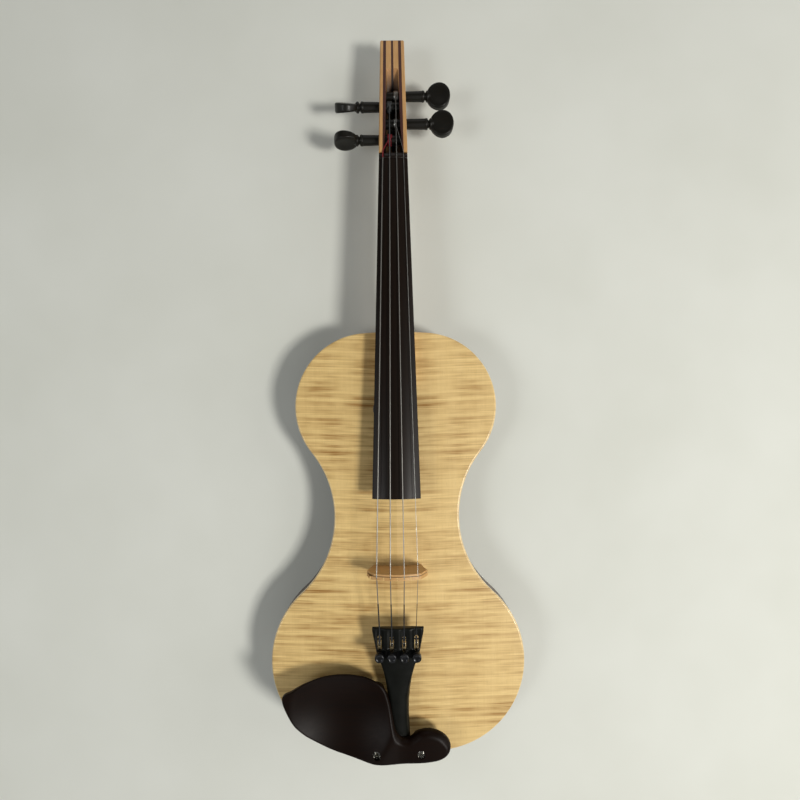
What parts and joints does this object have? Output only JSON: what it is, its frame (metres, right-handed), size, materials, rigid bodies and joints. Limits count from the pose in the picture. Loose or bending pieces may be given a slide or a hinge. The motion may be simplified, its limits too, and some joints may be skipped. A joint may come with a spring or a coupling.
{
  "type": "electric violin with chin rest",
  "caption": "Solid-bodied electric violin with a flamed maple top, straight laminated head, friction pegs, tailpiece with fine tuners, pickup bridge, chin rest and output jack.",
  "frame": {"origin": "middle of the footprint, at the level of the flat back that the instrument lies on", "axes": "+X towards the treble side, +Y along the neck towards the head, +Z out of the top plates"},
  "size_m": [0.2054, 0.591, 0.0696],
  "materials": {
    "top_maple": "flamed maple, thin satin lacquer",
    "body_walnut": "dark stained wood, satin oil finish",
    "neck_maple": "maple lamination, oiled",
    "neck_dark": "dark reddish-brown lamination, oiled",
    "ebony": "polished ebony",
    "peg_ebony": "turned and polished ebony",
    "rest_wood": "very dark polished wood",
    "bridge_maple": "pale maple, unvarnished",
    "cork": "cork sheet",
    "tail_composite": "black moulded composite",
    "black_plastic": "black moulded plastic",
    "pickup_film": "dark pickup film",
    "lead_jacket": "black flexible jacket",
    "loop_cord": "stiff pale nylon",
    "steel": "bright steel",
    "black_steel": "black plated steel",
    "case_metal": "die-cast metal",
    "nickel": "nickel plate",
    "brass": "plain brass",
    "string_wound": "flat wound string",
    "string_plain": "plain drawn wire",
    "silk_red": "dark red silk over the winding",
    "silk_grey": "grey silk over the winding"
  },
  "bodies": {
    "instrument": {"body_shell": "body_walnut", "top_plate_bass": "top_maple", "top_plate_treble": "top_maple", "cavity_cover": "black_plastic", "cover_screws": "steel", "neck_maple_bass_outer": "neck_maple", "neck_dark_bass": "neck_dark", "neck_maple_bass_inner": "neck_maple", "neck_dark_centre": "neck_dark", "neck_maple_treble_inner": "neck_maple", "neck_dark_treble": "neck_dark", "neck_maple_treble_outer": "neck_maple", "fingerboard": "ebony", "nut": "ebony", "saddle": "ebony", "end_button": "ebony", "tail_loop": "loop_cord", "tail_loop_nuts": "brass", "bridge_front": "bridge_maple", "bridge_back": "bridge_maple", "bridge_pickups": "pickup_film", "pickup_lead": "lead_jacket", "volume_pot": "case_metal", "pot_nut": "steel", "jack_lead": "lead_jacket", "output_jack": "case_metal", "jack_nut": "nickel", "string_g": "string_wound", "string_d": "string_wound", "string_a": "string_wound", "string_e": "string_plain", "tailpiece": "tail_composite", "tuner_pin": "nickel", "chin_rest": "rest_wood", "chin_rest_bolts": "steel", "chin_rest_pads": "cork", "bolt_inserts": "brass"},
    "peg_g": {"peg_g": "peg_ebony", "winding_g": "silk_red"},
    "peg_d": {"peg_d": "peg_ebony", "winding_d": "silk_grey"},
    "peg_a": {"peg_a": "peg_ebony", "winding_a": "silk_grey"},
    "peg_e": {"peg_e": "peg_ebony", "winding_e": "silk_grey"},
    "tuner_screw_g": {"tuner_screw_g": "black_steel"},
    "tuner_lever_g": {"tuner_lever_g": "nickel", "string_ball_g": "brass"},
    "tuner_screw_d": {"tuner_screw_d": "black_steel"},
    "tuner_lever_d": {"tuner_lever_d": "nickel", "string_ball_d": "brass"},
    "tuner_screw_a": {"tuner_screw_a": "black_steel"},
    "tuner_lever_a": {"tuner_lever_a": "nickel", "string_ball_a": "brass"},
    "tuner_screw_e": {"tuner_screw_e": "black_steel"},
    "tuner_lever_e": {"tuner_lever_e": "nickel", "string_ball_e": "brass"},
    "volume_knob": {"volume_wheel": "black_plastic", "volume_shaft": "steel"}
  },
  "joints": [
    {"name": "peg_g_turn", "type": "hinge", "parent": "instrument", "child": "peg_g", "pos_m": [0, 0.2141, 0.03538], "axis": [-1, 0, 0], "continuous": true},
    {"name": "peg_d_turn", "type": "hinge", "parent": "instrument", "child": "peg_d", "pos_m": [0, 0.2427, 0.03241], "axis": [-1, 0, 0], "continuous": true},
    {"name": "peg_a_turn", "type": "hinge", "parent": "instrument", "child": "peg_a", "pos_m": [0, 0.2517, 0.03147], "axis": [1, 0, 0], "continuous": true},
    {"name": "peg_e_turn", "type": "hinge", "parent": "instrument", "child": "peg_e", "pos_m": [0, 0.2277, 0.03397], "axis": [1, 0, 0], "continuous": true},
    {"name": "tuner_screw_g_turn", "type": "hinge", "parent": "instrument", "child": "tuner_screw_g", "pos_m": [-0.0144, -0.19731, 0.05754], "axis": [0, -0.0872, 0.9962], "range_deg": [0, 1440]},
    {"name": "tuner_lever_g_tilt", "type": "hinge", "parent": "instrument", "child": "tuner_lever_g", "pos_m": [-0.0144, -0.18642, 0.05347], "axis": [1, 0, 0], "range_deg": [0, 11]},
    {"name": "tuner_screw_d_turn", "type": "hinge", "parent": "instrument", "child": "tuner_screw_d", "pos_m": [-0.0048, -0.19731, 0.05754], "axis": [0, -0.0872, 0.9962], "range_deg": [0, 1440]},
    {"name": "tuner_lever_d_tilt", "type": "hinge", "parent": "instrument", "child": "tuner_lever_d", "pos_m": [-0.0048, -0.18642, 0.05347], "axis": [1, 0, 0], "range_deg": [0, 11]},
    {"name": "tuner_screw_a_turn", "type": "hinge", "parent": "instrument", "child": "tuner_screw_a", "pos_m": [0.0048, -0.19731, 0.05754], "axis": [0, -0.0872, 0.9962], "range_deg": [0, 1440]},
    {"name": "tuner_lever_a_tilt", "type": "hinge", "parent": "instrument", "child": "tuner_lever_a", "pos_m": [0.0048, -0.18642, 0.05347], "axis": [1, 0, 0], "range_deg": [0, 11]},
    {"name": "tuner_screw_e_turn", "type": "hinge", "parent": "instrument", "child": "tuner_screw_e", "pos_m": [0.0144, -0.19731, 0.05754], "axis": [0, -0.0872, 0.9962], "range_deg": [0, 1440]},
    {"name": "tuner_lever_e_tilt", "type": "hinge", "parent": "instrument", "child": "tuner_lever_e", "pos_m": [0.0144, -0.18642, 0.05347], "axis": [1, 0, 0], "range_deg": [0, 11]},
    {"name": "volume_turn", "type": "hinge", "parent": "instrument", "child": "volume_knob", "pos_m": [-0.0083, -0.0055, 0.042], "axis": [0, 0, 1], "range_deg": [0, 270]}
  ],
  "couplings": [
    {"joint": "tuner_lever_g_tilt", "follows": "tuner_screw_g_turn", "ratio": 0.00758},
    {"joint": "tuner_lever_d_tilt", "follows": "tuner_screw_d_turn", "ratio": 0.00758},
    {"joint": "tuner_lever_a_tilt", "follows": "tuner_screw_a_turn", "ratio": 0.00758},
    {"joint": "tuner_lever_e_tilt", "follows": "tuner_screw_e_turn", "ratio": 0.00758}
  ]
}
